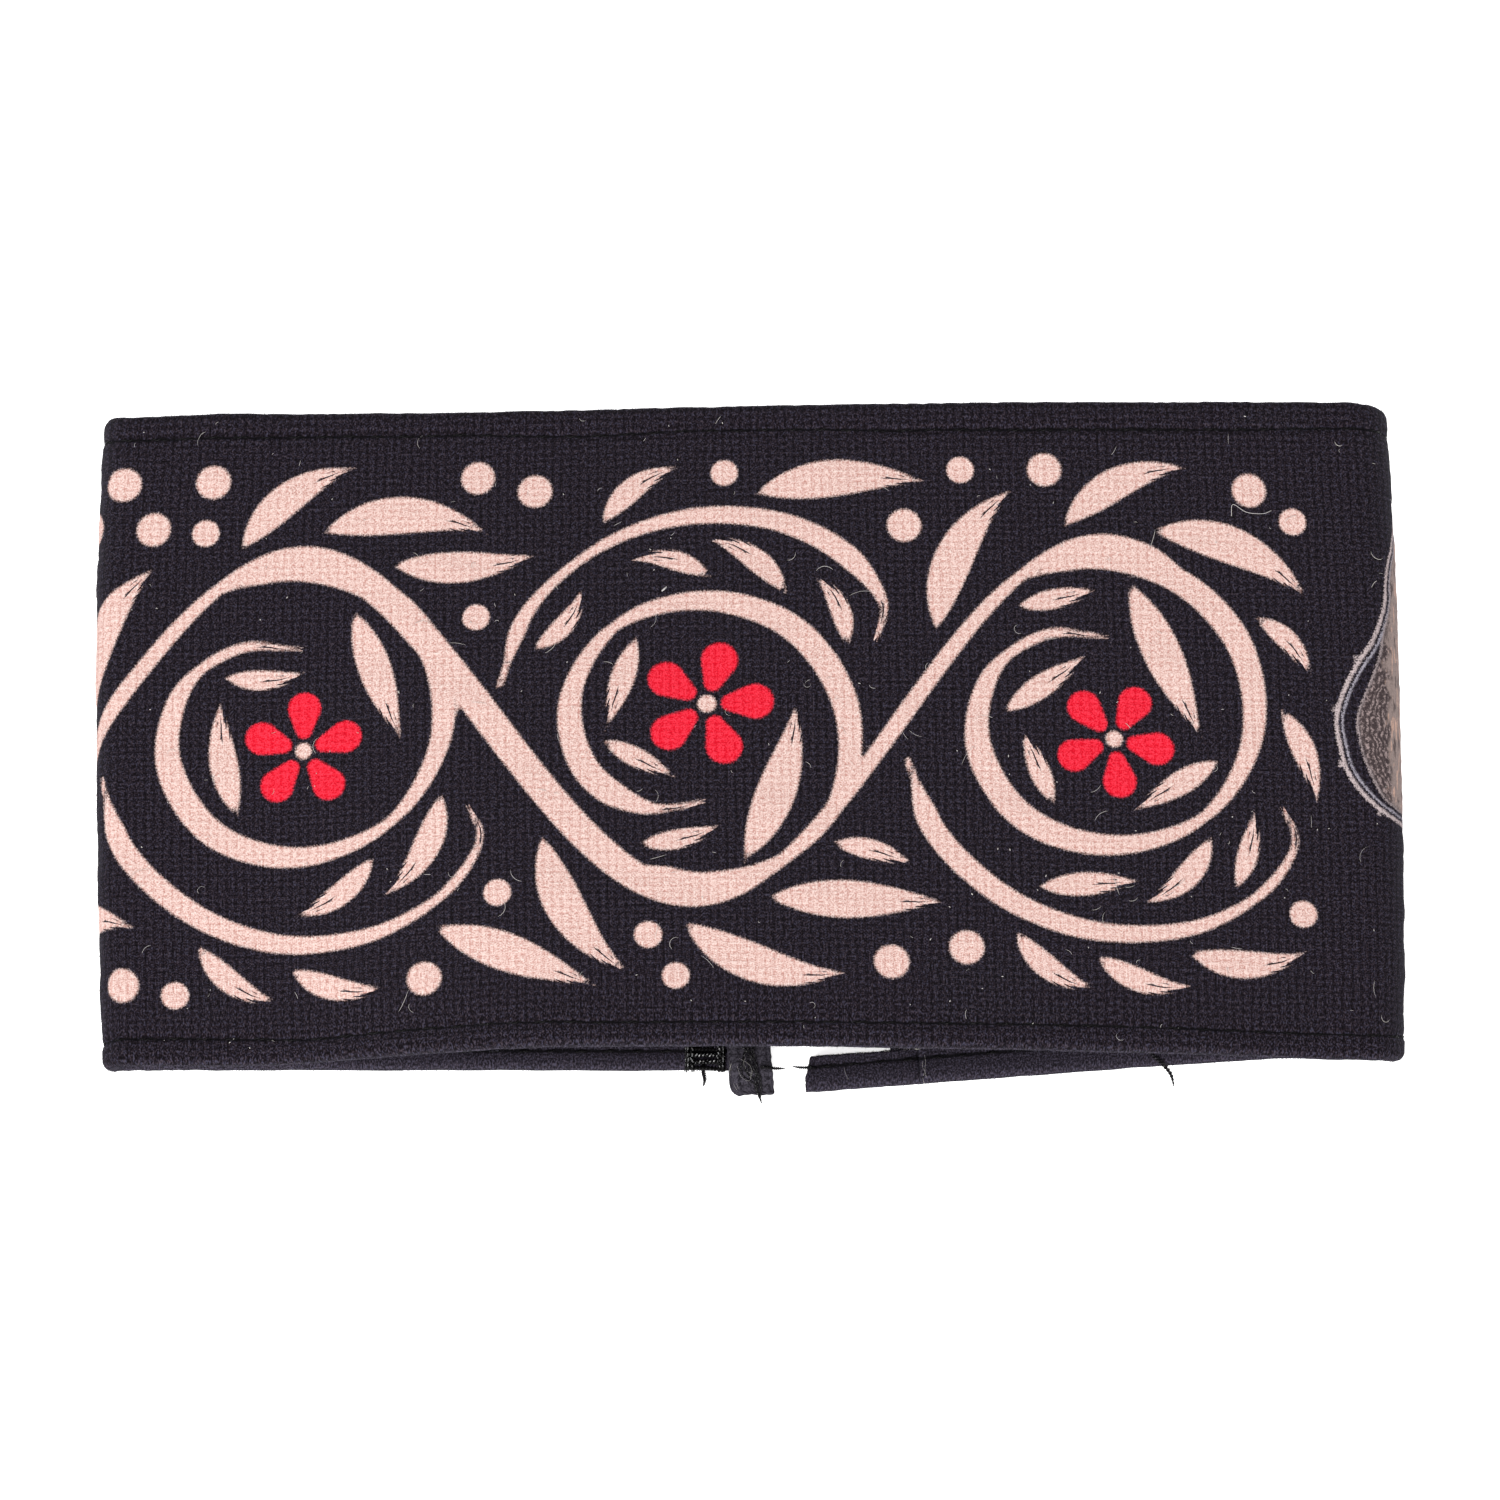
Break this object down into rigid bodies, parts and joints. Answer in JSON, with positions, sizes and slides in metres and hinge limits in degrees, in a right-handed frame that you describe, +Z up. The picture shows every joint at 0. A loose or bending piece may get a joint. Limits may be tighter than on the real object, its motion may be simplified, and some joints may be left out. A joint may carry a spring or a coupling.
{
  "type": "cloth armband",
  "caption": "Wide cloth armband lying as a flattened loop, with hemmed long edges, a printed front and a plain stretch join behind it.",
  "frame": {"origin": "middle of the footprint, on the surface that the armband lies on", "axes": "+X along the band's length, +Y from the low long edge to the top long edge, +Z up out of the printed front"},
  "size_m": [0.1857, 0.1, 0.0183],
  "materials": {
    "printed_cloth": "thick woven cloth with a short brushed pile, near black, printed in beige and red",
    "elastic_webbing": "ribbed black stretch webbing",
    "facing_cloth": "the cloth's plain reverse, near black",
    "sewing_thread": "black polyester thread with a slight gloss"
  },
  "bodies": {
    "root": {"printed_band": "printed_cloth", "elastic_strip": "elastic_webbing", "end_tab": "facing_cloth", "bar_tack": "sewing_thread"}
  },
  "joints": []
}
